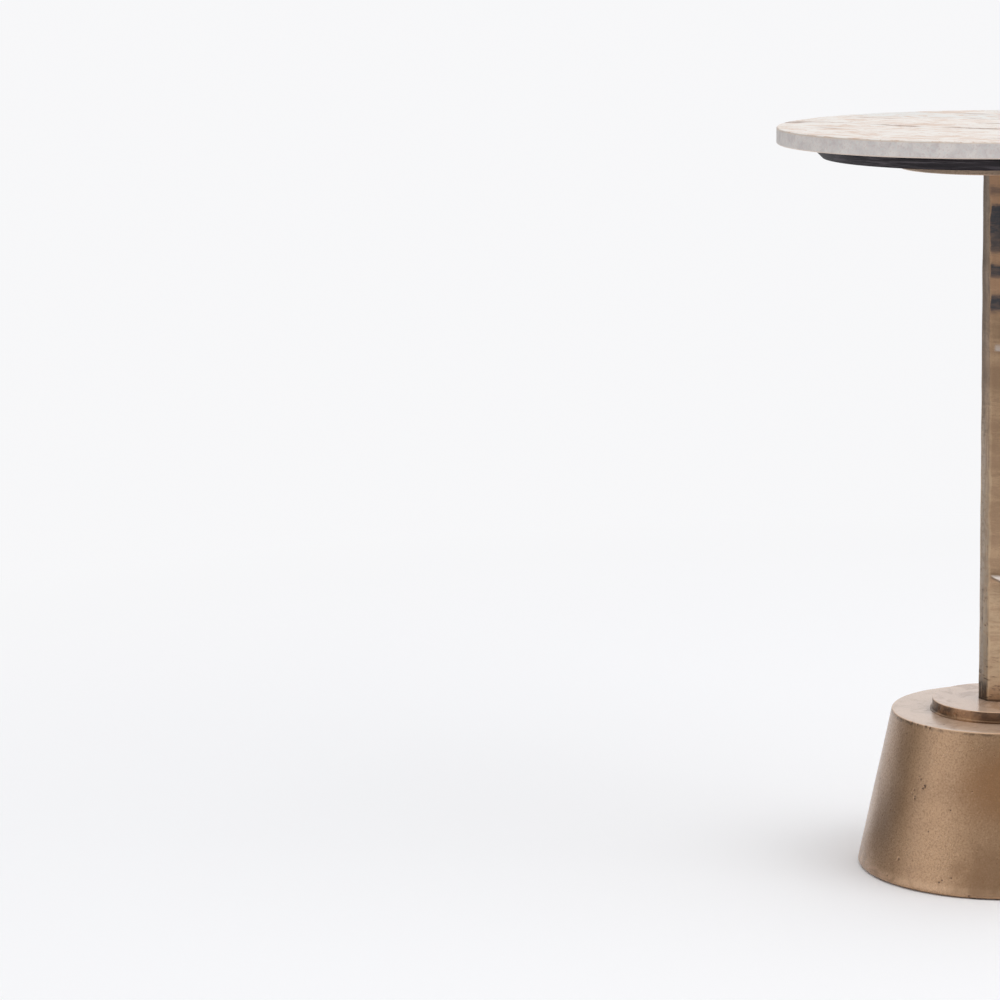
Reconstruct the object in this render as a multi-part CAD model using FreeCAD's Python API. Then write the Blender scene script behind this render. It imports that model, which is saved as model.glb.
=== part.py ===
import FreeCAD, Part
import math
import os

# Wine table: a round stone top bonded to a black board, on a bronze plate, a forged
# octagonal column, a round step plate and a hollow cone-shaped casting.
# Millimetres, Z up. The origin is on the floor, under the axis of the table.

# Stone top
stone_diameter = 381.0
stone_thickness = 13.7
stone_arris = 1.2

# Silicone dabs between the stone and the board
bond_thickness = 0.8
bond_dab_diameter = 40.0
bond_circle_radius = 110.0
bond_dab_count = 6

# Black board, bevelled at 45 degrees round its underside
board_underside_diameter = 304.6
board_thickness = 11.2
board_bevel = 8.2

# Threaded inserts in the board
insert_diameter = 10.0
insert_length = 9.0
insert_fit = 0.05

# Plate under the board
flange_diameter = 176.0
flange_thickness = 9.2
flange_rim_chamfer = 0.7
flange_screw_count = 4
flange_screw_circle_radius = 65.0

# Screws and washers that hold the board on the plate, sunk in counterbores
screw_diameter = 6.0
screw_head_diameter = 11.5
screw_head_height = 3.6
screw_head_chamfer = 1.0
screw_socket_width = 4.0
screw_socket_depth = 2.2
screw_end_gap = 1.0
screw_hole_clearance = 0.3
washer_diameter = 12.5
washer_thickness = 1.6
counterbore_clearance = 0.8
counterbore_depth = 5.6

# Column: octagonal tube, forged in bands, with blunted arrises
column_length = 454.2
column_flats = 33.4
column_arris_width = 2.6
column_bore = 22.0
forge_depth = 0.45
seat_depth = 2.0
seat_clearance = 0.15

# Where the hammered bands meet along the column, and how far the faces stand in or out there
band_place_shares = (0.06, 0.15, 0.23, 0.27, 0.38, 0.49, 0.58, 0.66, 0.73, 0.80, 0.86, 0.93)
band_depth_shares = (-0.5, 0.4, -0.9, 0.6, -0.3, 0.5, -0.6, 0.7, -0.8, 0.3, -1.0, 0.4)

# Plugs welded into the ends of the column
head_plug_length = 25.0
foot_plug_length = 34.0
plug_fit = 0.1
thread_fit = 0.1

# Countersunk screw from the plate into the upper plug
head_screw_diameter = 10.0
head_screw_head_diameter = 20.0
head_screw_length = 26.0
head_screw_socket_width = 6.0
head_screw_socket_depth = 3.2
countersink_clearance = 0.1

# Step plate with an upright edge and a small cove at its foot
collar_diameter = 113.8
collar_thickness = 9.7
collar_cove = 2.0
collar_foot_land = 0.4
collar_rim_chamfer = 0.5

# Dowel pins between the step plate and the base
dowel_diameter = 6.0
dowel_length = 11.0
dowel_circle_radius = 42.0
dowel_count = 2
dowel_fit = 0.05
dowel_end_gap = 0.25

# Hollow cone-shaped base with a boss under its roof
base_bottom_diameter = 240.2
base_top_diameter = 182.8
base_height = 135.4
base_wall = 8.0
base_roof = 10.0
base_foot_round = 2.0
base_rim_round = 1.0
base_inner_chamfer = 6.0
boss_diameter = 46.0
boss_depth = 24.0

# Felt pads in lugs inside the rim of the base
pad_diameter = 22.0
pad_thickness = 3.0
pad_proud = 0.8
pad_fit = 0.1
pad_count = 4
pad_rim_land = 2.5
lug_wall = 4.0
lug_height = 24.0

# Bolt and washers that pull the column down on the base
bolt_diameter = 12.0
bolt_hole_clearance = 0.5
bolt_head_width = 18.0
bolt_head_height = 7.5
bolt_head_chamfer = 1.2
bolt_engagement = 24.0
bolt_washer_diameter = 37.0
bolt_washer_thickness = 3.0
bolt_washer_clearance = 0.5
spring_washer_diameter = 20.5
spring_washer_thickness = 3.0
spring_washer_clearance = 0.2
spring_washer_split = 1.5

# Cuts run this far past the faces that they open, and rims are found to within the tolerance
overrun = 1.0
rim_tolerance = 0.001

# Heights of the faces where the pieces meet
base_underside = pad_proud
base_top = base_underside + base_height
roof_underside = base_top - base_roof
boss_underside = roof_underside - boss_depth
collar_top = base_top + collar_thickness
column_foot = collar_top - seat_depth
flange_underside = collar_top + column_length
column_head = flange_underside + seat_depth
flange_top = flange_underside + flange_thickness
board_top = flange_top + board_thickness
stone_underside = board_top + bond_thickness
counterbore_face = flange_underside + counterbore_depth
screw_head_face = counterbore_face - washer_thickness
spring_washer_face = boss_underside - bolt_washer_thickness
bolt_head_face = spring_washer_face - spring_washer_thickness

octagon_sides = 8
hexagon_sides = 6
pad_circle_radius = base_bottom_diameter / 2 - base_foot_round - pad_rim_land - pad_diameter / 2

V = FreeCAD.Vector
CENTRE = V(0, 0, 0)
UP = V(0, 0, 1)


def turned(corners):
    """Solid turned about the table's axis from its (radius, height) corners."""
    points = [V(radius, 0, height) for radius, height in corners]
    return Part.Face(Part.makePolygon(points + points[:1])).revolve(CENTRE, UP, 360)


def disc(diameter, bottom, top, place=CENTRE):
    """Upright cylinder between two heights, over a place in plan."""
    return Part.makeCylinder(diameter / 2, top - bottom, V(place.x, place.y, bottom))


def ring(outer_diameter, inner_diameter, bottom, top, place=CENTRE):
    """Upright tube between two heights, over a place in plan."""
    hole = disc(inner_diameter, bottom - overrun, top + overrun, place)
    return disc(outer_diameter, bottom, top, place).cut(hole)


def places_round(count, radius):
    """Places spaced evenly on a circle about the axis."""
    angles = [2 * math.pi * index / count for index in range(count)]
    return [V(radius * math.cos(angle), radius * math.sin(angle), 0) for angle in angles]


def hexagon(flats, bottom, top, place=CENTRE):
    """Hexagonal prism of a width across flats, between two heights."""
    corner_radius = flats / 2 / math.cos(math.pi / hexagon_sides)
    start = V(place.x, place.y, bottom)
    points = [start + corner for corner in places_round(hexagon_sides, corner_radius)]
    return Part.Face(Part.makePolygon(points + points[:1])).extrude(V(0, 0, top - bottom))


def octagon_outline(flats, height):
    """Octagon with blunted corners and a flat square to each axis."""
    half_turn = math.pi / octagon_sides
    half_blunt = column_arris_width / 2
    reach = flats / 2 / math.cos(half_turn) - half_blunt * math.tan(half_turn)
    points = []
    for index in range(octagon_sides):
        angle = half_turn * (2 * index + 1)
        outward = V(math.cos(angle), math.sin(angle), 0)
        along = V(-math.sin(angle), math.cos(angle), 0)
        middle = outward * reach + V(0, 0, height)
        points += [middle - along * half_blunt, middle + along * half_blunt]
    return Part.makePolygon(points + points[:1])


def octagon_seat(bottom, top):
    """Room for an end of the column, with the seat's clearance all round."""
    outline = octagon_outline(column_flats + 2 * seat_clearance, bottom)
    return Part.Face(outline).extrude(V(0, 0, top - bottom))


def rims(solid, height):
    """The circular edges of a solid that lie at one height."""
    circles = [edge for edge in solid.Edges if isinstance(edge.Curve, Part.Circle)]
    return [circle for circle in circles if abs(circle.Curve.Center.z - height) < rim_tolerance]


def rounded(solid, radius, height):
    """Solid with its rims at one height rounded."""
    return solid.makeFillet(radius, rims(solid, height))


def chamfered(solid, size, height):
    """Solid with its rims at one height cut off at 45 degrees."""
    return solid.makeChamfer(size, rims(solid, height))


def stone_top():
    slab = disc(stone_diameter, stone_underside, stone_underside + stone_thickness)
    slab = rounded(slab, stone_arris, stone_underside)
    return rounded(slab, stone_arris, stone_underside + stone_thickness)


def bond_pads():
    places = places_round(bond_dab_count, bond_circle_radius) + [CENTRE]
    return Part.makeCompound([disc(bond_dab_diameter, board_top, stone_underside, place) for place in places])


def screw_places():
    return places_round(flange_screw_count, flange_screw_circle_radius)


def sub_top():
    foot_radius = board_underside_diameter / 2
    edge_radius = foot_radius + board_bevel
    bevel_top = flange_top + board_bevel
    board = turned([(0, flange_top), (foot_radius, flange_top), (edge_radius, bevel_top),
                    (edge_radius, board_top), (0, board_top)])
    hole_diameter = insert_diameter + 2 * insert_fit
    hole_end = flange_top + insert_length + insert_fit
    holes = [disc(hole_diameter, flange_top - overrun, hole_end, place) for place in screw_places()]
    return board.cut(holes)


def threaded_inserts():
    bore = screw_diameter + 2 * thread_fit
    top = flange_top + insert_length
    inserts = [ring(insert_diameter, bore, flange_top, top, place) for place in screw_places()]
    return Part.makeCompound(inserts)


def head_screw_cone(clearance, top):
    """Cone of the countersunk head, wider all round by a clearance, up to a height."""
    throat = head_screw_diameter / 2 + clearance
    rise = (head_screw_head_diameter - head_screw_diameter) / 2
    above = top - flange_top
    return Part.makeCone(throat, throat + rise + above, rise + above, V(0, 0, flange_top - rise))


def top_flange():
    blank = disc(flange_diameter, flange_underside, flange_top)
    plate = chamfered(blank, flange_rim_chamfer, flange_underside)
    centre_hole = disc(head_screw_diameter + 2 * countersink_clearance, flange_underside, flange_top)
    countersink = head_screw_cone(countersink_clearance, flange_top + overrun)
    cuts = [octagon_seat(flange_underside - overrun, column_head), centre_hole, countersink]
    hole_diameter = screw_diameter + 2 * screw_hole_clearance
    counterbore_diameter = washer_diameter + 2 * counterbore_clearance
    for place in screw_places():
        cuts.append(disc(hole_diameter, flange_underside, flange_top + overrun, place))
        cuts.append(disc(counterbore_diameter, flange_underside - overrun, counterbore_face, place))
    return plate.cut(cuts)


def flange_screw(place):
    head_end = screw_head_face - screw_head_height
    blank = disc(screw_head_diameter, head_end, screw_head_face, place)
    head = chamfered(blank, screw_head_chamfer, head_end)
    shank = disc(screw_diameter, screw_head_face, flange_top + insert_length - screw_end_gap, place)
    socket = hexagon(screw_socket_width, head_end - overrun, head_end + screw_socket_depth, place)
    return head.fuse(shank).cut(socket)


def flange_screws():
    return Part.makeCompound([flange_screw(place) for place in screw_places()])


def flange_washers():
    bore = screw_diameter + 2 * screw_hole_clearance
    washers = []
    for place in screw_places():
        washers.append(ring(washer_diameter, bore, screw_head_face, counterbore_face, place))
    return Part.makeCompound(washers)


def column():
    outlines = [octagon_outline(column_flats, column_foot), octagon_outline(column_flats, collar_top)]
    for place_share, depth_share in zip(band_place_shares, band_depth_shares):
        flats = column_flats + 2 * forge_depth * depth_share
        outlines.append(octagon_outline(flats, collar_top + column_length * place_share))
    outlines.append(octagon_outline(column_flats, flange_underside))
    outlines.append(octagon_outline(column_flats, column_head))
    bar = Part.makeLoft(outlines, True, True)
    return bar.cut(disc(column_bore, column_foot - overrun, column_head + overrun))


def head_plug():
    bore = head_screw_diameter + 2 * thread_fit
    return ring(column_bore - 2 * plug_fit, bore, column_head - head_plug_length, column_head)


def head_screw():
    shank = disc(head_screw_diameter, flange_top - head_screw_length, flange_top)
    socket_end = flange_top - head_screw_socket_depth
    socket = hexagon(head_screw_socket_width, socket_end, flange_top + overrun)
    return shank.fuse(head_screw_cone(0, flange_top)).cut(socket)


def foot_plug():
    bore = bolt_diameter + 2 * thread_fit
    return ring(column_bore - 2 * plug_fit, bore, column_foot, column_foot + foot_plug_length)


def dowel_places():
    return places_round(dowel_count, dowel_circle_radius)


def dowel_holes():
    diameter = dowel_diameter + 2 * dowel_fit
    reach = dowel_length / 2 + dowel_end_gap
    return [disc(diameter, base_top - reach, base_top + reach, place) for place in dowel_places()]


def dowel_pins():
    bottom = base_top - dowel_length / 2
    top = bottom + dowel_length
    return Part.makeCompound([disc(dowel_diameter, bottom, top, place) for place in dowel_places()])


def bolt_hole(bottom, top):
    return disc(bolt_diameter + 2 * bolt_hole_clearance, bottom, top)


def collar_plate():
    radius = collar_diameter / 2
    foot_radius = radius + collar_cove
    cove_foot = base_top + collar_foot_land
    cove_head = cove_foot + collar_cove
    cove_reach = collar_cove / math.sqrt(2)
    low_centre = V(0, 0, base_top)
    low_edge = V(foot_radius, 0, base_top)
    cove_start = V(foot_radius, 0, cove_foot)
    cove_middle = V(foot_radius - cove_reach, 0, cove_head - cove_reach)
    cove_end = V(radius, 0, cove_head)
    high_edge = V(radius, 0, collar_top)
    high_centre = V(0, 0, collar_top)
    outline = Part.Wire([
        Part.makeLine(low_centre, low_edge),
        Part.makeLine(low_edge, cove_start),
        Part.Arc(cove_start, cove_middle, cove_end).toShape(),
        Part.makeLine(cove_end, high_edge),
        Part.makeLine(high_edge, high_centre),
        Part.makeLine(high_centre, low_centre)])
    plate = Part.Face(outline).revolve(CENTRE, UP, 360)
    plate = chamfered(plate, collar_rim_chamfer, collar_top)
    seat = octagon_seat(column_foot, collar_top + overrun)
    return plate.cut([seat, bolt_hole(base_top - overrun, collar_top)] + dowel_holes())


def base_radius(height):
    """Outer radius of the cone at a height."""
    rise_share = (height - base_underside) / base_height
    return (base_bottom_diameter + (base_top_diameter - base_bottom_diameter) * rise_share) / 2


def base_outside():
    cone = turned([(0, base_underside), (base_radius(base_underside), base_underside),
                   (base_radius(base_top), base_top), (0, base_top)])
    return rounded(rounded(cone, base_foot_round, base_underside), base_rim_round, base_top)


def base_hollow():
    mouth = base_underside - overrun
    hollow = turned([(0, mouth), (base_radius(mouth) - base_wall, mouth),
                     (base_radius(roof_underside) - base_wall, roof_underside), (0, roof_underside)])
    return chamfered(hollow, base_inner_chamfer, roof_underside)


def pad_places():
    return places_round(pad_count, pad_circle_radius)


def base_casting():
    outside = base_outside()
    boss = disc(boss_diameter, boss_underside, roof_underside + base_roof / 2)
    lug_diameter = pad_diameter + 2 * lug_wall
    lug_top = base_underside + lug_height
    lugs = [disc(lug_diameter, base_underside, lug_top, place).common(outside) for place in pad_places()]
    casting = outside.cut(base_hollow()).fuse([boss] + lugs)
    recess_diameter = pad_diameter + 2 * pad_fit
    cuts = [bolt_hole(boss_underside - overrun, base_top + overrun)] + dowel_holes()
    for place in pad_places():
        cuts.append(disc(recess_diameter, base_underside - overrun, pad_thickness, place))
    return casting.cut(cuts).removeSplitter()


def base_bolt():
    head_end = bolt_head_face - bolt_head_height
    corner_diameter = bolt_head_width / math.cos(math.pi / hexagon_sides)
    blank = chamfered(disc(corner_diameter, head_end, bolt_head_face), bolt_head_chamfer, head_end)
    head = blank.common(hexagon(bolt_head_width, head_end - overrun, bolt_head_face + overrun))
    shank = disc(bolt_diameter, bolt_head_face, column_foot + bolt_engagement)
    return head.fuse(shank)


def base_washer():
    bore = bolt_diameter + 2 * bolt_washer_clearance
    return ring(bolt_washer_diameter, bore, spring_washer_face, boss_underside)


def base_spring_washer():
    bore = bolt_diameter + 2 * spring_washer_clearance
    washer = ring(spring_washer_diameter, bore, bolt_head_face, spring_washer_face)
    corner = V(0, -spring_washer_split / 2, bolt_head_face - overrun)
    height = spring_washer_thickness + 2 * overrun
    split = Part.makeBox(spring_washer_diameter, spring_washer_split, height, corner)
    return washer.cut(split)


def floor_pads():
    return Part.makeCompound([disc(pad_diameter, 0, pad_thickness, place) for place in pad_places()])


pieces = (stone_top, bond_pads, sub_top, threaded_inserts, top_flange, flange_screws, flange_washers,
          column, head_plug, head_screw, foot_plug, collar_plate, dowel_pins, base_casting,
          base_bolt, base_washer, base_spring_washer, floor_pads)

os.makedirs("parts", exist_ok=True)
for piece in pieces:
    shape = piece()
    shape.exportStep("parts/" + piece.__name__ + ".step")
    print(piece.__name__, len(shape.Solids), shape.isValid(), round(shape.Volume))
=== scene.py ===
import math

import bpy
from mathutils import Matrix, Vector


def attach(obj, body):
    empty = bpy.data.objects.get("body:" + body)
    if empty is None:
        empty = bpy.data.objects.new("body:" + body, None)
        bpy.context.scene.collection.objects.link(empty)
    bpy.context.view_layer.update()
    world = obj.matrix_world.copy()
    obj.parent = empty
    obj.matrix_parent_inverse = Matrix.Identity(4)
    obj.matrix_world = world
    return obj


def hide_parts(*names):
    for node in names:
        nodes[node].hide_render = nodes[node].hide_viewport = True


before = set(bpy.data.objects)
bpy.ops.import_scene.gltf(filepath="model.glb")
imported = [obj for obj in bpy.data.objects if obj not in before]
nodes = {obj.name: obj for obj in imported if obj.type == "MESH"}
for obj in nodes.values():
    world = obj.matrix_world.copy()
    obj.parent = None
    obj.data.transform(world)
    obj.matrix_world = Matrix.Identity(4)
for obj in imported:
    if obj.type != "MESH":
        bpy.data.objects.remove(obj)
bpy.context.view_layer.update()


# Felt pads: four punched discs of pressed brown wool felt, glued into the lugs inside
# the rim of the casting, so that the metal stands just clear of the floor.
felt_brown = (0.060, 0.043, 0.032, 1)
felt_pale = (0.125, 0.098, 0.078, 1)
felt_fibres_per_metre = 1400
felt_clumps_per_metre = 260
felt_nap = 0.0006


# A node and each of its values give the tree of nodes they belong to as their id_data.
def set_inputs(made, inputs):
    """Links the inputs of a node to values from other nodes, and sets those that are plain."""
    for name, value in inputs.items():
        if isinstance(value, bpy.types.NodeSocket):
            made.id_data.links.new(value, made.inputs[name])
        else:
            made.inputs[name].default_value = value


def add_node(tree, kind, inputs=None, **settings):
    """Adds a shader node with its settings and its inputs."""
    made = tree.nodes.new("ShaderNode" + kind)
    for name, value in settings.items():
        setattr(made, name, value)
    set_inputs(made, inputs or {})
    return made


def start_finish(name, metal=0.0):
    """Starts a finish and gives it with its shader and the place on the piece in metres."""
    finish = bpy.data.materials.new(name)
    finish.use_nodes = True
    shader = finish.node_tree.nodes["Principled BSDF"]
    shader.inputs["Metallic"].default_value = metal
    place = add_node(finish.node_tree, "TexCoord").outputs["Object"]
    return finish, shader, place


def grain(place, per_metre, detail=4.0, roughness=0.55, distortion=0.0):
    """Soft random grain of so many lumps to the metre, about 0.5 in the middle."""
    inputs = {"Vector": place, "Scale": per_metre, "Detail": detail,
              "Roughness": roughness, "Distortion": distortion}
    return add_node(place.id_data, "TexNoise", inputs).outputs["Fac"]


def fade(value, low, high, at_low=0.0, at_high=1.0):
    """Turns a value smoothly from one level to another between two limits."""
    inputs = {"Value": value, "From Min": low, "From Max": high, "To Min": at_low, "To Max": at_high}
    return add_node(value.id_data, "MapRange", inputs, interpolation_type="SMOOTHSTEP").outputs["Result"]


def mixed(share, first, second):
    """Mixes two colours by a share."""
    return add_node(share.id_data, "Mix", {0: share, 6: first, 7: second}, data_type="RGBA").outputs[2]


def relief(shader, height, depth):
    """Raises the surface by a height that runs from 0 to 1, so many metres deep."""
    bump = add_node(shader.id_data, "Bump", {"Height": height, "Distance": depth, "Strength": 1.0})
    set_inputs(shader, {"Normal": bump.outputs["Normal"]})


def dress(finish, *node_names):
    """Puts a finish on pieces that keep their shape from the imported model."""
    for node_name in node_names:
        for slot in nodes[node_name].material_slots:
            slot.material = finish


felt, shader, place = start_finish("pressed_wool_felt")
fibres = grain(place, felt_fibres_per_metre, detail=6.0, distortion=1.5)
clumps = grain(place, felt_clumps_per_metre)
set_inputs(shader, {
    "Base Color": mixed(fade(fibres, 0.35, 0.7), felt_brown, felt_pale),
    "Roughness": fade(clumps, 0.3, 0.7, 0.85, 1.0)})
relief(shader, fibres, felt_nap)
dress(felt, "floor_pads")


# Base: a hollow sand casting in iron, its outside turned to a plain cone, then bronzed, rubbed
# to a satin brown and lacquered. It keeps a fine grain, open pores and small knocks on its rims.
base_steps = 360
base_foot = 0.0008
base_top = 0.1362
base_foot_radius = 0.1201
base_rim_radius = 0.0914
base_wall = 0.008
base_roof = 0.010
base_foot_round = 0.0020
base_rim_round = 0.0010
base_inner_chamfer = 0.006
base_top_rings = (0.087, 0.082, 0.076, 0.070, 0.064, 0.058, 0.030)
wall_ring_gap = 0.0026
boss_radius = 0.023
boss_depth = 0.024
bolt_hole_radius = 0.0065
lug_radius = 0.015
lug_height = 0.024
lug_circle = 0.1046
pad_recess_radius = 0.0111
pad_recess_depth = 0.0022
dowel_hole_radius = 0.00305
dowel_hole_depth = 0.00575
dowel_circle = 0.042
disc_steps = 40
cut_overrun = 0.001
casting_unevenness = 0.00035
casting_lumps = 0.045
turned_smooth_angle = math.radians(32)
mark_margin = 0.0022
# Each pore or knock: degrees round from the front to the left, height, reach and depth in millimetres.
pores = ((30, 92, 1.3, 0.35), (27, 87, 1.7, 0.45), (32, 75, 1.4, 0.35), (12, 71, 1.4, 0.35),
         (2, 88, 0.9, 0.20), (36, 23, 1.5, 0.40), (28, 25, 1.0, 0.30), (41, 7, 1.3, 0.30),
         (9, 16, 1.4, 0.35), (14, 11, 1.3, 0.30), (28, 85, 1.3, 0.30), (33, 82, 1.1, 0.25),
         (34, 78, 1.1, 0.25), (13, 13, 1.2, 0.25), (32, 77, 1.1, 0.25), (31, 94, 0.9, 0.20),
         (47, 60, 1.1, 0.25), (58, 98, 1.2, 0.30), (-20, 54, 1.4, 0.35), (-48, 101, 1.3, 0.30),
         (-75, 38, 1.5, 0.40), (-104, 88, 1.4, 0.35), (-131, 25, 1.6, 0.40), (-152, 71, 1.2, 0.30),
         (176, 47, 1.4, 0.35), (149, 108, 1.3, 0.30), (121, 30, 1.5, 0.40), (97, 77, 1.4, 0.35),
         (80, 15, 1.2, 0.30), (-8, 118, 0.9, 0.20))
knocks = ((43, 135.8, 2.2, 0.50), (38, 135.6, 1.8, 0.40), (32, 135.5, 2.0, 0.45), (29, 134.9, 1.5, 0.45),
          (1, 2.2, 2.2, 0.60), (-30, 135.3, 2.0, 0.45), (-95, 135.4, 1.8, 0.40), (-160, 2.0, 2.2, 0.50),
          (118, 135.3, 2.2, 0.45), (170, 135.4, 1.8, 0.40))
bronze_light = (0.510, 0.321, 0.190, 1)
bronze_brown = (0.320, 0.186, 0.102, 1)
# Pale bronze for painted glints in the grain, and for painted highlights and reflections.
bronze_glint = (0.720, 0.480, 0.310, 1)
bronze_dark = (0.095, 0.063, 0.046, 1)
bronze_umber = (0.118, 0.080, 0.056, 1)
bronze_dark_reflection = (0.375, 0.194, 0.090, 1)
# Lighter, greyer tone painted on the turned tops: painted light.
bronze_top_painted_light = (0.745, 0.563, 0.445, 1)
clouds_per_metre = 17
casting_grain_per_metre = 640
casting_dust_per_metre = 2300
stains_per_metre = 46
wax_specks_per_metre = 150
casting_relief = 0.00026
casting_stain = 0.45
wall_lacquer = 0.45
top_lacquer = 1.0
top_metal = 0.28
low_dark_reflection_place = (0.012, -0.116, 0.018)
upper_dark_reflection_place = (0.024, -0.096, 0.094)
plate_foot_shade_place = (-0.0555, -0.0210, 0.1362)


def work_in(mode):
    """Goes into edit mode, or back out of it into object mode."""
    bpy.ops.object.mode_set(mode=mode)


def pick(piece, kind, wanted):
    """Goes into edit mode with those corners, edges or faces selected that pass a test."""
    work_in("EDIT")
    bpy.ops.mesh.select_mode(type=kind)
    bpy.ops.mesh.select_all(action="DESELECT")
    work_in("OBJECT")
    corners = piece.data.vertices
    parts = {"VERT": corners, "EDGE": piece.data.edges, "FACE": piece.data.polygons}[kind]
    for part in parts:
        places = [part.co] if kind == "VERT" else [corners[index].co for index in part.vertices]
        part.select = wanted(*places)
    work_in("EDIT")


def turn_piece(name, outline, steps):
    """Turns a closed (radius, height) outline about the axis of the table."""
    bpy.ops.object.select_all(action="DESELECT")
    radius, height = outline[0]
    bpy.ops.mesh.primitive_circle_add(vertices=steps, radius=radius, location=(0, 0, height))
    piece = bpy.context.active_object
    piece.name = name
    bpy.ops.object.transform_apply()
    work_in("EDIT")
    bpy.ops.mesh.select_all(action="SELECT")
    for next_radius, next_height in outline[1:] + outline[:1]:
        rise = (0, 0, next_height - height)
        bpy.ops.mesh.extrude_edges_move(TRANSFORM_OT_translate={"value": rise})
        growth = next_radius / radius
        bpy.ops.transform.resize(value=(growth, growth, 1), center_override=(0, 0, next_height))
        radius, height = next_radius, next_height
    bpy.ops.mesh.select_all(action="SELECT")
    bpy.ops.mesh.remove_doubles(threshold=0.00002)
    bpy.ops.mesh.normals_make_consistent(inside=False)
    work_in("OBJECT")
    return piece


def round_corner(before, corner, after, radius, steps):
    """Points of a rounding at a corner of an outline, between its two sides."""
    corner = Vector(corner)
    back = (Vector(before) - corner).normalized()
    on = (Vector(after) - corner).normalized()
    half = back.angle(on) / 2
    centre = corner + (back + on).normalized() * radius / math.sin(half)
    first = corner + back * radius / math.tan(half) - centre
    last = corner + on * radius / math.tan(half) - centre
    spokes = [first.slerp(last, step / steps).normalized() for step in range(steps + 1)]
    return [tuple(centre + spoke * radius) for spoke in spokes]


def apply_modifier(piece, kind, **settings):
    """Adds a modifier to a piece and makes it part of its mesh."""
    bpy.ops.object.select_all(action="DESELECT")
    piece.select_set(True)
    bpy.context.view_layer.objects.active = piece
    made = piece.modifiers.new(kind.lower(), kind)
    for name, value in settings.items():
        setattr(made, name, value)
    bpy.ops.object.modifier_apply(modifier=made.name)


def join_or_cut(piece, tool, way):
    """Joins another shape to a piece, or cuts it out, and takes that shape away."""
    apply_modifier(piece, "BOOLEAN", object=tool, operation=way, solver="EXACT")
    bpy.data.objects.remove(tool)


def roughen(piece, pattern, lump_size, depth, middle=0.5, group=""):
    """Moves the skin of a piece in and out by a pattern of lumps, all in metres."""
    pattern.noise_scale = lump_size
    apply_modifier(piece, "DISPLACE", texture=pattern, texture_coords="LOCAL", strength=depth,
                   mid_level=middle, vertex_group=group)


def discs_round(name, count, circle, radius, bottom, top):
    """Upright discs on a circle about the axis, as one shape: one is made and turned round."""
    bpy.ops.object.select_all(action="DESELECT")
    middle = (circle, 0, (bottom + top) / 2)
    bpy.ops.mesh.primitive_cylinder_add(vertices=disc_steps, radius=radius, depth=top - bottom,
                                        location=middle)
    discs = bpy.context.active_object
    discs.name = name
    bpy.ops.object.transform_apply()
    work_in("EDIT")
    for index in range(count - 1):
        bpy.ops.mesh.duplicate()
        bpy.ops.transform.rotate(value=2 * math.pi / count, orient_axis="Z", center_override=(0, 0, 0))
    work_in("OBJECT")
    return discs


def mark_places(marks, outer_radius):
    """Place, outward direction, reach and depth of each mark on a turned face, in metres."""
    places = []
    for degrees, height, reach, depth in marks:
        angle = math.radians(degrees)
        outward = Vector((-math.sin(angle), -math.cos(angle), 0))
        place = outward * outer_radius(height / 1000) + Vector((0, 0, height / 1000))
        places.append((place, outward, reach / 1000, depth / 1000))
    return places


def press_in(piece, places):
    """Presses small marks into a turned face, after cutting its mesh finer round each of them."""

    def near_mark(*corners):
        middle = sum(corners, Vector()) / len(corners)
        return any((middle - place).length < reach + mark_margin for place, outward, reach, depth in places)

    pick(piece, "FACE", near_mark)
    bpy.ops.mesh.subdivide(number_cuts=3)
    for place, outward, reach, depth in places:
        bpy.ops.mesh.select_mode(type="VERT")
        bpy.ops.mesh.select_all(action="DESELECT")
        work_in("OBJECT")
        nearest = min(piece.data.vertices, key=lambda corner: (corner.co - place).length_squared)
        nearest.select = True
        work_in("EDIT")
        bpy.ops.transform.translate(value=outward * -depth, use_proportional_edit=True,
                                    proportional_edit_falloff="SPHERE", proportional_size=reach)
    work_in("OBJECT")


def rub_wax_in(piece, places):
    """Notes at each corner of a mesh how much dark wax the marks near it hold, from 0 to 1."""
    wax = piece.data.attributes.new("wax", "FLOAT", "POINT")
    for index, corner in enumerate(piece.data.vertices):
        held = [1 - (corner.co - place).length / reach for place, outward, reach, depth in places]
        wax.data[index].value = max(0.0, max(held))


def base_radius(height):
    """Outer radius of the cone at a height."""
    share = (height - base_foot) / (base_top - base_foot)
    return base_foot_radius + (base_rim_radius - base_foot_radius) * share


base_inner_foot = (base_foot_radius - base_wall, base_foot)
base_corner_foot = (base_foot_radius, base_foot)
base_corner_rim = (base_rim_radius, base_top)
roof_height = base_top - base_roof
boss_foot = roof_height - boss_depth
chamfer_height = roof_height - base_inner_chamfer
roof_radius = base_radius(roof_height) - base_wall - base_inner_chamfer
base_outline = [base_inner_foot]
base_outline += round_corner(base_inner_foot, base_corner_foot, base_corner_rim, base_foot_round, 5)
wall_rings = int((base_top - base_foot) / wall_ring_gap)
for ring_index in range(2, wall_rings):
    ring_height = base_foot + (base_top - base_foot) * ring_index / wall_rings
    base_outline.append((base_radius(ring_height), ring_height))
base_outline += round_corner(base_corner_foot, base_corner_rim, (0, base_top), base_rim_round, 4)
base_outline += [(radius, base_top) for radius in base_top_rings]
base_outline += [(bolt_hole_radius, base_top), (bolt_hole_radius, boss_foot), (boss_radius, boss_foot)]
base_outline += [(boss_radius, roof_height), (roof_radius, roof_height)]
base_outline += [(base_radius(chamfer_height) - base_wall, chamfer_height)]
base = turn_piece("cone_base", base_outline, base_steps)
roughen(base, bpy.data.textures.new("uneven_skin", "CLOUDS"), casting_lumps, casting_unevenness)
pore_places = mark_places(pores, base_radius)
press_in(base, pore_places)
knock_places = mark_places(knocks, base_radius)
press_in(base, knock_places)
lugs = discs_round("lugs", 4, lug_circle, lug_radius, base_foot, base_foot + lug_height)
bpy.ops.mesh.primitive_cone_add(
    vertices=96, radius1=base_foot_radius - base_wall / 2, radius2=base_rim_radius - base_wall / 2,
    depth=base_top - base_foot, location=(0, 0, (base_top + base_foot) / 2))
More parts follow.
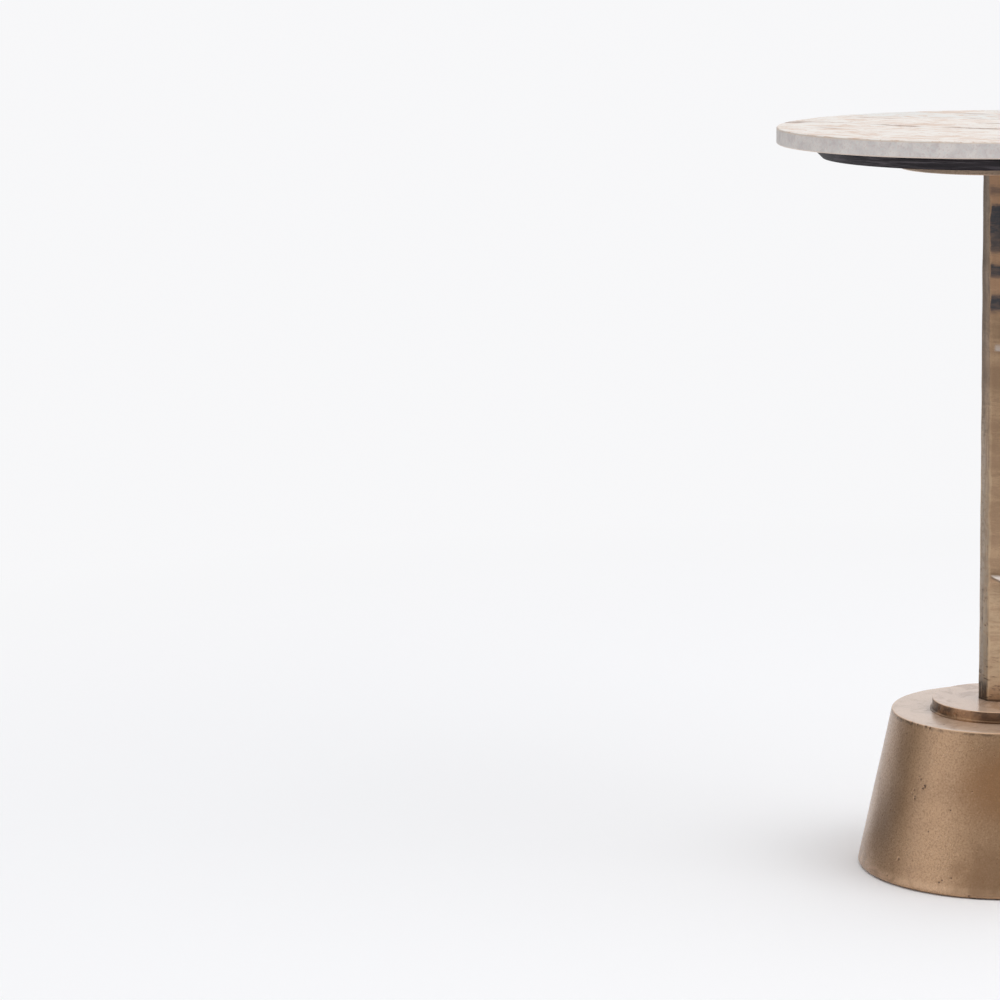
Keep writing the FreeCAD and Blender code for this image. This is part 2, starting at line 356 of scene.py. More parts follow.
inside_of_wall = bpy.context.active_object
bpy.ops.object.transform_apply()
join_or_cut(lugs, inside_of_wall, "INTERSECT")
join_or_cut(base, lugs, "UNION")
recess_roof = base_foot + pad_recess_depth
recesses = discs_round("recesses", 4, lug_circle, pad_recess_radius, base_foot - cut_overrun, recess_roof)
join_or_cut(base, recesses, "DIFFERENCE")
dowel_holes = discs_round("dowel_holes", 2, dowel_circle, dowel_hole_radius,
                          base_top - dowel_hole_depth, base_top + cut_overrun)
join_or_cut(base, dowel_holes, "DIFFERENCE")
bpy.ops.object.shade_smooth_by_angle(angle=turned_smooth_angle)
rub_wax_in(base, pore_places + knock_places)


def worked_out(way, *values):
    """Adds, multiplies or compares values one after another, the first of them from a node."""
    made = values[0]
    for value in values[1:]:
        made = add_node(made.id_data, "Math", {0: made, 1: value}, operation=way).outputs[0]
    return made


def sum_of(*values):
    """Adds values."""
    return worked_out("ADD", *values)


def product(*values):
    """Multiplies values."""
    return worked_out("MULTIPLY", *values)


def largest(*values):
    """Gives the largest of some values."""
    return worked_out("MAXIMUM", *values)


def between(value, start, full, waning, end, strength=1.0):
    """Rises from 0 to a strength between the first two limits, and falls again between the last two."""
    return product(fade(value, start, full), fade(value, waning, end, strength, 0.0))


def vector_math(way, first, second=(0, 0, 0)):
    """Works with two places or directions, and gives a number for a distance, length or dot product."""
    made = add_node(first.id_data, "VectorMath", {0: first, 1: second}, operation=way)
    return made.outputs["Value" if way in ("DISTANCE", "LENGTH", "DOT_PRODUCT") else "Vector"]


def turned_parts(finish):
    """Height on a turned piece, distance out from its axis, and place on it, in metres."""
    tree = finish.node_tree
    place = add_node(tree, "TexCoord").outputs["Object"]
    out = vector_math("LENGTH", vector_math("MULTIPLY", place, (1, 1, 0)))
    return add_node(tree, "SeparateXYZ", {0: place}).outputs["Z"], out, place


def bronze_finish(name, light, brown, top, stain, shift=(0.0, 0.0, 0.0)):
    """Rubbed bronze under lacquer: cloudy brown tone, fine grain with painted glints, dark wax, and a
    duller turned top painted lighter as painted light.
    """
    finish, shader, place = start_finish(name, metal=1.0)
    tree = finish.node_tree
    height = turned_parts(finish)[0]
    on_top = between(height, top - 0.0006, top - 0.0002, top + 0.0010, top + 0.0014)
    place = add_node(tree, "Mapping", {"Vector": place, "Location": shift}).outputs["Vector"]
    clouds = grain(place, clouds_per_metre, detail=5.0, distortion=0.6)
    specks = grain(place, casting_grain_per_metre, detail=3.0, roughness=0.6)
    dust = grain(place, casting_dust_per_metre, detail=2.0)
    tone = mixed(fade(clouds, 0.40, 0.74, 0.0, 0.55), light, brown)
    tone = mixed(fade(specks, 0.47, 0.68, 0.0, 0.68), tone, brown)
    # Pale specks of the grain, painted as glints.
    tone = mixed(fade(specks, 0.29, 0.43, 0.50, 0.0), tone, bronze_glint)
    # The turned top painted lighter and greyer: painted light.
    tone = mixed(product(on_top, 0.55), tone, bronze_top_painted_light)
    stains = grain(place, stains_per_metre, detail=6.0, roughness=0.62, distortion=1.0)
    stained = product(on_top, fade(stains, 0.46, 0.68, 0.0, stain))
    tone = mixed(stained, tone, brown)
    cells = {"Vector": place, "Scale": wax_specks_per_metre, "Randomness": 1.0}
    cells = add_node(tree, "TexVoronoi", cells).outputs
    chance = add_node(tree, "SeparateColor", {0: cells["Color"]}).outputs[0]
    wax = product(fade(cells["Distance"], 0.06, 0.16, 1.0, 0.0), fade(chance, 0.86, 0.90), 0.7)
    in_marks = add_node(tree, "Attribute", attribute_name="wax").outputs["Fac"]
    in_marks = sum_of(in_marks, fade(specks, 0.32, 0.68, 0.22, -0.40))
    wax = largest(wax, fade(in_marks, 0.12, 0.66))
    tone = mixed(product(wax, 0.88), tone, bronze_dark)
    dull = sum_of(fade(specks, 0.3, 0.75, 0.27, 0.44), fade(clouds, 0.3, 0.7, -0.03, 0.05))
    dull = sum_of(dull, product(on_top, 0.18), product(wax, 0.3))
    height = sum_of(specks, product(dust, 0.35), product(wax, -1.0))
    relief(shader, height, casting_relief)
    set_inputs(shader, {
        "Base Color": tone, "Roughness": dull, "Metallic": fade(on_top, 0.0, 1.0, 1.0, top_metal),
        "Coat Weight": fade(on_top, 0.0, 1.0, wall_lacquer, top_lacquer),
        "Coat Roughness": 0.20, "Coat IOR": 1.6})
    return finish


def lay_over(finish, share, colour):
    """Lays another colour over the tone of a finish, by a share."""
    tree = finish.node_tree
    tone = tree.nodes["Principled BSDF"].inputs["Base Color"]
    tree.links.new(mixed(share, tone.links[0].from_socket, colour), tone)


cast_bronze = bronze_finish("rubbed_cast_bronze", bronze_light, bronze_brown, base_top, casting_stain)
height, out, place = turned_parts(cast_bronze)
# A painted highlight along the rounded rim of the cone.
rim_painted_highlight = product(fade(height, base_top - 0.0012, base_top - 0.0004),
                   fade(out, base_rim_radius - 0.0016, base_rim_radius - 0.0008), 0.7)
lay_over(cast_bronze, rim_painted_highlight, bronze_glint)
# A ragged dark line just under the rim.
under_rim = between(height, base_top - 0.0040, base_top - 0.0018, base_top - 0.0014, base_top - 0.0006)
rim_dark_line = fade(grain(place, 130, detail=5.0, roughness=0.65), 0.42, 0.60, 0.10, 0.65)
lay_over(cast_bronze, product(under_rim, rim_dark_line), bronze_umber)
# A lighter band above the foot: a painted reflection of the floor on its rounding.
foot_painted_reflection = between(height, base_foot + 0.0015, base_foot + 0.0040,
                    base_foot + 0.0060, base_foot + 0.0110, 0.40)
lay_over(cast_bronze, foot_painted_reflection, bronze_glint)
scuffs = fade(grain(place, 38, detail=4.0, distortion=0.8), 0.50, 0.66)
lay_over(cast_bronze, product(scuffs, fade(height, 0.006, 0.034, 0.6, 0.0)), bronze_brown)
# A darker patch low on the front of the wall: a painted dark reflection.
from_low_dark_reflection = sum_of(vector_math("DISTANCE", place, low_dark_reflection_place),
                    fade(grain(place, 60), 0.3, 0.7, -0.008, 0.008))
lay_over(cast_bronze, fade(from_low_dark_reflection, 0.010, 0.034, 0.6, 0.0), bronze_brown)
# A darker, warmer patch high on the front of the wall: a painted dark reflection.
from_upper_dark_reflection = vector_math("DISTANCE", place, upper_dark_reflection_place)
lay_over(cast_bronze, fade(from_upper_dark_reflection, 0.012, 0.050, 0.72, 0.0), bronze_dark_reflection)
# Painted shade on the top of the cone at the left front of the step plate's foot.
from_plate_foot_shade = sum_of(vector_math("DISTANCE", place, plate_foot_shade_place),
                   fade(grain(place, 180, detail=4.0), 0.3, 0.7, -0.003, 0.003))
lay_over(cast_bronze, fade(from_plate_foot_shade, 0.002, 0.007, 0.80, 0.0), bronze_brown)
base.data.materials.append(cast_bronze)
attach(base, "root")
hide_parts("base_casting")


# Bolt and washers: a zinc-plated bolt with a flat and a spring washer, turned up from the
# hollow of the casting into the plug of the column, and seen only from below.
zinc_pale = (0.560, 0.565, 0.575, 1)
zinc_grey = (0.360, 0.365, 0.385, 1)
steel_grey = (0.300, 0.292, 0.285, 1)
steel_dark = (0.150, 0.142, 0.136, 1)
plating_blotches_per_metre = 160
steel_scratches_per_metre = 420
steel_relief = 0.00004


def stretched(place, shares):
    """The place on a piece, scaled along x, y and z, so that grain made from it is drawn out."""
    return add_node(place.id_data, "Mapping", {"Vector": place, "Scale": shares}).outputs["Vector"]


def steel_finish(name, pale, grey, roughness):
    """Machined metal: fine turned scratches, and a blotchy plating or mill scale."""
    finish, shader, place = start_finish(name, metal=1.0)
    blotches = grain(place, plating_blotches_per_metre, detail=5.0, distortion=0.8)
    scratches = grain(stretched(place, (1.0, 1.0, 14.0)), steel_scratches_per_metre, detail=3.0)
    set_inputs(shader, {
        "Base Color": mixed(fade(blotches, 0.35, 0.68), pale, grey),
        "Roughness": fade(scratches, 0.3, 0.7, roughness, roughness + 0.16)})
    relief(shader, scratches, steel_relief)
    return finish


zinc_steel = steel_finish("zinc_plated_steel", zinc_pale, zinc_grey, 0.26)
plain_steel = steel_finish("plain_turned_steel", steel_grey, steel_dark, 0.38)
dress(zinc_steel, "base_bolt", "base_washer", "base_spring_washer")


# Dowel pins: two short ground steel pins that stop the step plate from turning on the
# casting, hidden in blind holes between the two.
dress(plain_steel, "dowel_pins")


# Step plate: a thick iron disc turned with a small cove at its foot and a thin rim with a painted
# highlight, bronzed and rubbed like the casting, with painted shade and a painted dark reflection on its
# edge. It hides the joint of the column and has an eight-sided seat for it.
plate_steps = 300
plate_top = 0.1459
plate_radius = 0.0569
plate_cove = 0.0020
plate_land = 0.0004
plate_chamfer = 0.0005
plate_inner_ring = 0.030
plate_ring_gap = 0.0011
plate_top_rings = (0.054, 0.050, 0.045, 0.040, 0.034, 0.028, 0.020)
plate_unevenness = 0.00030
plate_lumps = 0.016
seat_flats = 0.0337
seat_depth = 0.0020
plate_knocks = ((38, 145.5, 1.5, 0.30), (24, 145.6, 1.2, 0.25), (52, 141.5, 1.8, 0.30),
                (30, 140.0, 1.6, 0.30), (-40, 145.4, 1.6, 0.30), (-120, 145.3, 1.8, 0.35),
                (150, 145.4, 1.6, 0.30))
plate_light = (0.520, 0.310, 0.175, 1)
plate_brown = (0.370, 0.205, 0.110, 1)
edge_painted_dark_reflection = (0.105, 0.052, 0.026, 1)
plate_stain = 0.85
plate_grain_shift = (0.31, 0.17, 0.05)
edge_patches_per_metre = 95
lit_edge_place = (-0.0209, -0.0529, 0.1415)
edge_dark_reflection_place = (0.0080, -0.0563, 0.1415)


def octagon_bar(flats, bottom, top):
    """An upright eight-sided bar on the axis, with a flat to the front."""
    bpy.ops.object.select_all(action="DESELECT")
    bpy.ops.mesh.primitive_cylinder_add(
        vertices=8, radius=flats / 2 / math.cos(math.pi / 8), depth=top - bottom,
        location=(0, 0, (top + bottom) / 2), rotation=(0, 0, math.pi / 8))
    bpy.ops.object.transform_apply()
    return bpy.context.active_object


cove_head = base_top + plate_land + plate_cove
plate_outline = [(bolt_hole_radius, base_top), (plate_inner_ring, base_top)]
plate_outline.append((plate_radius + plate_cove, base_top))
for step in range(7):
    cove_angle = math.radians(15 * step)
    cove_radius = plate_radius + plate_cove * (1 - math.sin(cove_angle))
    plate_outline.append((cove_radius, cove_head - plate_cove * math.cos(cove_angle)))
plate_outline += [(plate_radius, cove_head + plate_ring_gap * step) for step in range(1, 6)]
plate_outline += [(plate_radius, plate_top - plate_chamfer), (plate_radius - plate_chamfer, plate_top)]
plate_outline += [(radius, plate_top) for radius in plate_top_rings + (bolt_hole_radius,)]
plate = turn_piece("step_plate", plate_outline, plate_steps)
roughen(plate, bpy.data.textures.new("uneven_rim", "CLOUDS"), plate_lumps, plate_unevenness)
press_in(plate, mark_places(plate_knocks, lambda height: plate_radius))
join_or_cut(plate, octagon_bar(seat_flats, plate_top - seat_depth, plate_top + seat_depth), "DIFFERENCE")
pin_holes = discs_round("pin_holes", 2, dowel_circle, dowel_hole_radius,
                        base_top - cut_overrun, base_top + dowel_hole_depth)
join_or_cut(plate, pin_holes, "DIFFERENCE")
bpy.ops.object.shade_smooth_by_angle(angle=turned_smooth_angle)

plate_bronze = bronze_finish("rubbed_plate_bronze", plate_light, plate_brown, plate_top, plate_stain,
                             plate_grain_shift)
height, out, place = turned_parts(plate_bronze)
patches = grain(place, edge_patches_per_metre, detail=5.0, distortion=1.0)
on_edge = product(fade(out, plate_radius - 0.0008, plate_radius - 0.0004),
                  fade(height, plate_top - 0.0007, plate_top - 0.0004, 1.0, 0.0))
# Painted shade on the edge of the step plate, lighter where it is lit at the left front.
from_lit_edge = vector_math("DISTANCE", place, lit_edge_place)
edge_painted_shade = product(on_edge, fade(patches, 0.42, 0.62, 0.88, 0.40),
                      fade(from_lit_edge, 0.005, 0.014, 0.35, 1.0),
                      fade(height, cove_head - 0.0008, cove_head + 0.0022, 0.70, 1.0))
lay_over(plate_bronze, edge_painted_shade, bronze_umber)
# A painted dark reflection on the front of the step plate's edge.
from_edge_dark_reflection = vector_math("DISTANCE", place, edge_dark_reflection_place)
lay_over(plate_bronze, product(fade(from_edge_dark_reflection, 0.008, 0.022, 0.55, 0.0), on_edge), edge_painted_dark_reflection)
# Painted shade on the left front of the step plate's edge, near its foot.
from_plate_foot_shade = sum_of(vector_math("DISTANCE", place, plate_foot_shade_place), fade(patches, 0.3, 0.7, -0.006, 0.006))
lay_over(plate_bronze, product(fade(from_plate_foot_shade, 0.010, 0.026, 0.75, 0.0), on_edge), bronze_dark)
# A painted highlight along the rim of the step plate.
rim_painted_highlight = between(height, plate_top - 0.0006, plate_top - 0.0003,
                   plate_top + 0.0005, plate_top + 0.0010, 0.75)
rim_painted_highlight = product(fade(out, plate_radius - 0.0012, plate_radius - 0.0006), rim_painted_highlight)
lay_over(plate_bronze, rim_painted_highlight, bronze_glint)
tree = plate_bronze.node_tree
coat = tree.nodes["Principled BSDF"].inputs["Coat Weight"]
lacquer_here = fade(height, cove_head - 0.0004, cove_head + 0.0012)
tree.links.new(product(coat.links[0].from_socket, lacquer_here), coat)
plate.data.materials.append(plate_bronze)
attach(plate, "root")
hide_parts("collar_plate")


# Column: a thick octagonal iron tube, forged by hand so that its flats carry hammer marks, its blunt
# arrises waver and its head has a slight twist. It is bronzed, rubbed bright with dark bands near
# the head, and lacquered; its arrises and laps carry painted highlights.
column_flats = 0.0334
column_arris = 0.0026
column_foot = 0.1439
column_head = 0.6021
column_seat = 0.0020
column_rings = 230
column_cuts_across = 7
column_smooth_angle = math.radians(18)
front_of_column = -0.0150
hammer_depth = 0.00050
hammer_mark_size = 0.026
forging_wave_depth = 0.00045
forging_wave_size = 0.030
end_fade = 0.012
head_twist = math.radians(13.0)
head_draw = 0.955
twist_reach = 0.40
lap_window = 0.009
lap_half_width = 0.0080
same_ring = 0.0005
# Laps left by the hammer on the front flat: place across, height, rise and reach in millimetres.
hammer_laps = ((3.6, 252.5, 1.2, 4.5), (6.4, 447.0, 0.8, 6.0))
# Painted light of each lap: height of its painted highlight in millimetres, slant of its edge in
# millimetres per degree round, and strength of the painted shade under it.
lap_painted_light = ((2.4, 0.148, 0.95), (4.2, 0.0, 0.0))
forged_light = (0.560, 0.372, 0.228, 1)
forged_brown = (0.420, 0.266, 0.163, 1)
forged_pale = (0.630, 0.455, 0.290, 1)
# Near white for the painted highlights of the laps.
forged_painted_highlight = (0.840, 0.770, 0.720, 1)
forged_warm = (0.520, 0.305, 0.185, 1)
side_grey = (0.290, 0.224, 0.168, 1)
side_painted_light = (0.455, 0.355, 0.255, 1)
side_dark = (0.150, 0.104, 0.078, 1)
side_pale = (0.500, 0.420, 0.355, 1)
side_umber = (0.225, 0.160, 0.108, 1)
dark_band_grey = (0.064, 0.067, 0.078, 1)
soot_and_shade = (0.030, 0.022, 0.017, 1)
forged_relief = 0.00020
# Dark bands on the front flat: lower and upper height in metres, and strength.
dark_bands = ((0.4804, 0.4944, 1.0), (0.5092, 0.5200, 1.0), (0.5300, 0.5475, 0.92),
                (0.5430, 0.5704, 1.0), (0.5776, 0.5850, 0.60))
dark_band_edge = 0.0032


def is_upright(start, end):
    """Tells the long edges of the column."""
    return abs(start.z - end.z) > 0.01 and (start.xy - end.xy).length < 0.0001


def is_across_flat(start, end):
    """Tells the edges that run level across a flat."""
    return abs(start.z - end.z) < 0.0001 and (start.xy - end.xy).length > 0.005


column = octagon_bar(column_flats, column_foot, column_head)
column.name = "hammered_column"
pick(column, "EDGE", is_upright)
bpy.ops.mesh.bevel(offset=column_arris, offset_type="WIDTH", segments=2, profile=0.62)
work_in("OBJECT")
for wanted_edge, cuts in ((is_upright, column_rings), (is_across_flat, column_cuts_across)):
    pick(column, "EDGE", wanted_edge)
    bpy.ops.mesh.subdivide(number_cuts=cuts)
    work_in("OBJECT")
for across, lap_height, rise, reach in hammer_laps:
    lap_z = lap_height / 1000
    pick(column, "FACE", lambda *corners: all(
        abs(corner.z - lap_z) < lap_window and corner.y < front_of_column for corner in corners))
    bpy.ops.mesh.subdivide(number_cuts=2)
    work_in("OBJECT")


def turn_from_front(place):
    """Degrees round the axis, from the front towards the left."""
    return math.degrees(math.atan2(-place.x, -place.y))


column.data.uv_layers.remove(column.data.uv_layers.active)
girth = column.data.uv_layers.new(name="girth")
for face in column.data.polygons:
    face_turn = turn_from_front(face.center)
    for loop_index in face.loop_indices:
        corner = column.data.vertices[column.data.loops[loop_index].vertex_index].co
        turn = turn_from_front(corner)
        turn -= 360 * round((turn - face_turn) / 360)
        girth.data[loop_index].uv = (turn / 360 + 0.5, corner.z)

free_length = column.vertex_groups.new(name="free_length")
for corner in column.data.vertices:
    from_ends = min(corner.co.z - column_foot, column_head - corner.co.z)
    share = (from_ends - 2 * column_seat) / end_fade
    free_length.add([corner.index], min(1.0, max(0.0, share)), "REPLACE")
hammer_marks = bpy.data.textures.new("hammer_marks", "VORONOI")
hammer_marks.distance_metric = "DISTANCE_SQUARED"
roughen(column, hammer_marks, hammer_mark_size, hammer_depth, 0.4, "free_length")
forging_wave = bpy.data.textures.new("forging_wave", "CLOUDS")
roughen(column, forging_wave, forging_wave_size, forging_wave_depth, 0.5, "free_length")
for across, lap_height, rise, reach in hammer_laps:
    lap_x, lap_z = across / 1000, lap_height / 1000
    pick(column, "VERT", lambda co: abs(co.z - lap_z) < same_ring
         and abs(co.x - lap_x) < lap_half_width and co.y < front_of_column)
    bpy.ops.transform.translate(value=(0, -rise / 1000, 0), use_proportional_edit=True,
                                proportional_edit_falloff="SHARP", proportional_size=reach / 1000)
    work_in("OBJECT")
pick(column, "VERT", lambda co: co.z > column_head - same_ring)
bpy.ops.transform.rotate(value=head_twist, orient_axis="Z", center_override=(0, 0, column_head),
                         use_proportional_edit=True, proportional_edit_falloff="SHARP",
                         proportional_size=twist_reach)
bpy.ops.transform.resize(value=(head_draw, head_draw, 1), center_override=(0, 0, column_head))
work_in("OBJECT")
bpy.ops.object.shade_smooth_by_angle(angle=column_smooth_angle)


def absolute(value):
    """A value without its sign."""
    return add_node(value.id_data, "Math", {0: value}, operation="ABSOLUTE").outputs[0]


forged, shader, place = start_finish("forged_bronze_patina", metal=1.0)
tree = forged.node_tree
unrolled = add_node(tree, "UVMap", uv_map="girth").outputs["UV"]
unrolled = add_node(tree, "SeparateXYZ", {0: unrolled}).outputs
along = unrolled["Y"]
round_left = product(sum_of(unrolled["X"], -0.5), 360.0)
banded = stretched(place, (0.22, 0.22, 1.0))
drawn_lines = grain(stretched(place, (1.0, 1.0, 0.05)), 650, detail=4.0, roughness=0.6)
bands = grain(banded, 62, detail=4.0, roughness=0.6, distortion=0.5)
streaks = grain(banded, 420, detail=4.0, roughness=0.65)
specks = grain(place, 700, detail=3.0, roughness=0.6)
blotches = grain(place, 190, detail=4.0, roughness=0.6, distortion=0.6)
wavering = fade(grain(place, 55, detail=5.0, roughness=0.6), 0.3, 0.7, -3.0, 3.0)

# Which flat of the column a place is on, in degrees round it, with wavering arrises.
turn_here = sum_of(round_left, wavering)
front = fade(absolute(turn_here), 17.0, 22.5, 1.0, 0.0)
in_eighth = worked_out("MODULO", sum_of(turn_here, 360.0), 45.0)
from_arris = absolute(sum_of(in_eighth, -22.5))
on_arris = fade(from_arris, 2.5, 5.5, 1.0, 0.0)
left_flat = between(turn_here, 21.0, 25.5, 72.0, 80.0)
outer_left = product(left_flat, fade(turn_here, 37.0, 53.0))

# Rubbed tone: banded on the front and the other flats, and greyer and streaked upright on the left one.
# Painted light: the lower left flat is painted lighter, and the arrises carry a painted highlight.
tone = mixed(fade(bands, 0.38, 0.66), forged_light, forged_brown)
tone = mixed(fade(streaks, 0.46, 0.66, 0.0, 0.8), tone, forged_brown)
tone = mixed(fade(specks, 0.46, 0.74, 0.0, 0.7), tone, forged_brown)
rubbed_low = product(between(along, 0.150, 0.172, 0.236, 0.250, 0.75),
                     fade(streaks, 0.35, 0.65, 1.0, 0.25), front)
tone = mixed(rubbed_low, tone, forged_pale)
warm_head = product(front, fade(along, 0.470, 0.490, 0.0, 0.70))
tone = mixed(warm_head, tone, forged_warm)
# The lower part of the left flat painted lighter: painted light.
left_painted_light_tone = mixed(fade(blotches, 0.42, 0.62), side_painted_light, forged_light)
left_low_painted_light = product(left_flat, fade(along, 0.28, 0.40, 0.80, 0.0))
tone = mixed(left_low_painted_light, tone, left_painted_light_tone)
grey_side = mixed(fade(drawn_lines, 0.40, 0.62), side_grey, forged_brown)
grey_high = product(fade(along, 0.37, 0.48, 0.20, 0.70), fade(along, 0.30, 0.40), left_flat)
tone = mixed(grey_high, tone, grey_side)
high_part = fade(sum_of(along, fade(blotches, 0.3, 0.7, -0.014, 0.014)), 0.366, 0.404)
strip_tone = mixed(high_part, side_pale, side_dark)
strip = product(outer_left, fade(drawn_lines, 0.30, 0.60, 0.92, 0.50))
tone = mixed(strip, tone, strip_tone)
mottled = product(left_flat, fade(blotches, 0.46, 0.64, 0.22, 0.62), fade(along, 0.22, 0.28, 0.6, 1.0))
tone = mixed(mottled, tone, side_umber)
dark_lines = product(left_flat, fade(drawn_lines, 0.55, 0.66, 0.0, 0.55))
tone = mixed(dark_lines, tone, side_dark)
pale_lines = product(left_flat, fade(drawn_lines, 0.33, 0.44, 0.45, 0.0))
tone = mixed(pale_lines, tone, forged_pale)
# A painted highlight along the arrises, fading out above the middle.
arris_painted_highlight = product(on_arris, fade(bands, 0.30, 0.65, 0.90, 0.30), fade(along, 0.32, 0.48, 1.0, 0.0))
tone = mixed(arris_painted_highlight, tone, forged_pale)

# Dark bands: set bands on the front flat, and broken ones near the head of the others.
ragged = sum_of(along, fade(streaks, 0.3, 0.7, -0.0014, 0.0014))
front_bands = []
for low, high, strength in dark_bands:
    front_bands.append(between(ragged, low - dark_band_edge, low + dark_band_edge,
                               high - dark_band_edge, high + dark_band_edge, strength))
front_dark_bands = product(largest(*front_bands), front)
other_flats = sum_of(product(largest(left_flat, front), -1.0), 1.0)
other_flats = product(fade(from_arris, 4.0, 7.0), other_flats)
other_dark_bands = product(fade(bands, 0.53, 0.60), fade(along, 0.44, 0.50), other_flats)
dark_banding = product(largest(front_dark_bands, other_dark_bands), fade(streaks, 0.40, 0.75, 0.98, 0.72))
tone = mixed(dark_banding, tone, dark_band_grey)

# Laps: a painted highlight on the edge, with a painted shade under it.
for (across, lap_height, rise, reach), (highlight_size, slant, lap_shade) in zip(hammer_laps, lap_painted_light):
    lap_turn = -math.degrees(math.atan2(across, column_flats * 500))
    edge, highlight_height = lap_height / 1000, highlight_size / 1000
    on_lap = between(round_left, -24.0, -20.0, lap_turn + 24.0, lap_turn + 34.0)
    lifted = sum_of(along, product(round_left, -slant / 1000))
    under_lap = between(lifted, edge - 0.0034, edge - 0.0010, edge - 0.0008, edge + 0.0004, lap_shade)
    tone = mixed(product(under_lap, on_lap), tone, side_umber)
    highlight_fade = fade(along, edge + 0.5 * highlight_height, edge + 1.7 * highlight_height, 0.66 * rise, 0.0)
    lap_painted_highlight = product(fade(lifted, edge - 0.0008, edge + 0.0006), highlight_fade, on_lap)
    tone = mixed(lap_painted_highlight, tone, forged_painted_highlight)

# Pits and soot marks near the foot, the side flats darker at the foot, and a painted shade where the column
# meets the step plate.
low_marks = product(fade(streaks, 0.56, 0.66), fade(along, 0.172, 0.190, 1.0, 0.0))
low_pits = product(fade(blotches, 0.58, 0.70), fade(along, 0.20, 0.30, 1.0, 0.0), left_flat)
pits = largest(low_marks, low_pits)
tone = mixed(product(pits, 0.50), tone, soot_and_shade)
foot_of_side = product(fade(along, 0.1570, 0.1680, 1.0, 0.0), fade(turn_here, 20.0, 27.0),
                       fade(drawn_lines, 0.52, 0.60, 0.80, 0.20))
# A painted shade just above the seat, where the column meets the step plate.
foot_painted_shade = fade(along, 0.1465, 0.1492, 0.75, 0.0)
tone = mixed(largest(foot_of_side, foot_painted_shade), tone, soot_and_shade)
dull = sum_of(fade(specks, 0.3, 0.7, 0.28, 0.42), product(dark_banding, 0.10), product(pits, 0.2))
height = sum_of(specks, product(streaks, 0.9), product(pits, -1.0))
relief(shader, height, forged_relief)
set_inputs(shader, {
    "Base Color": tone, "Roughness": dull, "Coat Weight": wall_lacquer, "Coat Roughness": 0.22})
column.data.materials.append(forged)
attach(column, "root")
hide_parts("column")


# Plugs and head screw: turned steel plugs welded into both ends of the column, and the
# countersunk screw that holds the upper plate to it, all hidden when the table is built.
dress(plain_steel, "head_plug", "foot_plug")
dress(zinc_steel, "head_screw")


# Upper plate: a flat iron disc on the head of the column, bronzed and rubbed to the same brown,
# with four socket screws and washers sunk in its underside that hold the board.
flange_light = (0.560, 0.405, 0.295, 1)
flange_brown = (0.400, 0.282, 0.203, 1)
flange_top = 0.6093
flange_bronze = bronze_finish("rubbed_flange_bronze", flange_light, flange_brown, flange_top, plate_stain)
dress(flange_bronze, "top_flange")
dress(zinc_steel, "flange_screws", "flange_washers")


# Board: a disc of dense fibreboard under the stone, bevelled at 45 degrees round its
# underside and sprayed in a low satin black, with faint rolled streaks along its edge.
board_black = (0.0250, 0.0220, 0.0252, 1)
board_worn = (0.0900, 0.0795, 0.0890, 1)
board_streaks_per_metre = 50
orange_peel_per_metre = 900
board_relief = 0.00016
board_sheen_level = 0.04

black_board, shader, place = start_finish("satin_black_board")
streaked = stretched(place, (0.45, 0.45, 14.0))
streaks = grain(streaked, board_streaks_per_metre, detail=7.0, roughness=0.68)
orange_peel = grain(place, orange_peel_per_metre, detail=2.0)
set_inputs(shader, {
    "Base Color": mixed(fade(streaks, 0.46, 0.62), board_black, board_worn),
    "Roughness": fade(streaks, 0.3, 0.7, 0.40, 0.58), "Specular IOR Level": board_sheen_level})
relief(shader, sum_of(orange_peel, streaks), board_relief)
dress(black_board, "sub_top")


# Inserts: four threaded brass bushes pressed into the underside of the board for the
# screws of the upper plate.
brass_light = (0.620, 0.470, 0.220, 1)
brass_dull = (0.400, 0.290, 0.130, 1)
brass = steel_finish("knurled_brass", brass_light, brass_dull, 0.30)
dress(brass, "threaded_inserts")


# Bond: seven soft dabs of clear silicone between the board and the stone, pressed thin
# as the stone is laid on.
silicone_grey = (0.62, 0.62, 0.60, 1)
silicone_white = (0.80, 0.80, 0.78, 1)
silicone_relief = 0.0002

silicone, shader, place = start_finish("cured_silicone")
milky = grain(place, 120, detail=3.0)
set_inputs(shader, {
    "Base Color": mixed(milky, silicone_grey, silicone_white),
    "Roughness": fade(milky, 0.3, 0.7, 0.30, 0.45)})
relief(shader, milky, silicone_relief)
dress(silicone, "bond_pads")


# Top: a disc of honed cream marble with eased arrises, sawn so that its peach and rust veins
# run across it in thin streaks, and its edge shows the crystals of the stone.
stone_cream = (0.835, 0.775, 0.720, 1)
stone_white = (0.740, 0.745, 0.725, 1)
stone_peach = (0.605, 0.390, 0.262, 1)
stone_rust = (0.250, 0.112, 0.057, 1)
stone_edge_pale = (0.855, 0.800, 0.765, 1)
stone_mauve = (0.690, 0.634, 0.620, 1)
stone_rose = (0.640, 0.545, 0.525, 1)
stone_arris_highlight = (0.780, 0.640, 0.530, 1)
stone_height = 0.6350
stone_underside = 0.6213
stone_relief = 0.00008
vein_turn = math.radians(21)
vein_wave = (0.014, 0.014, 0.0)
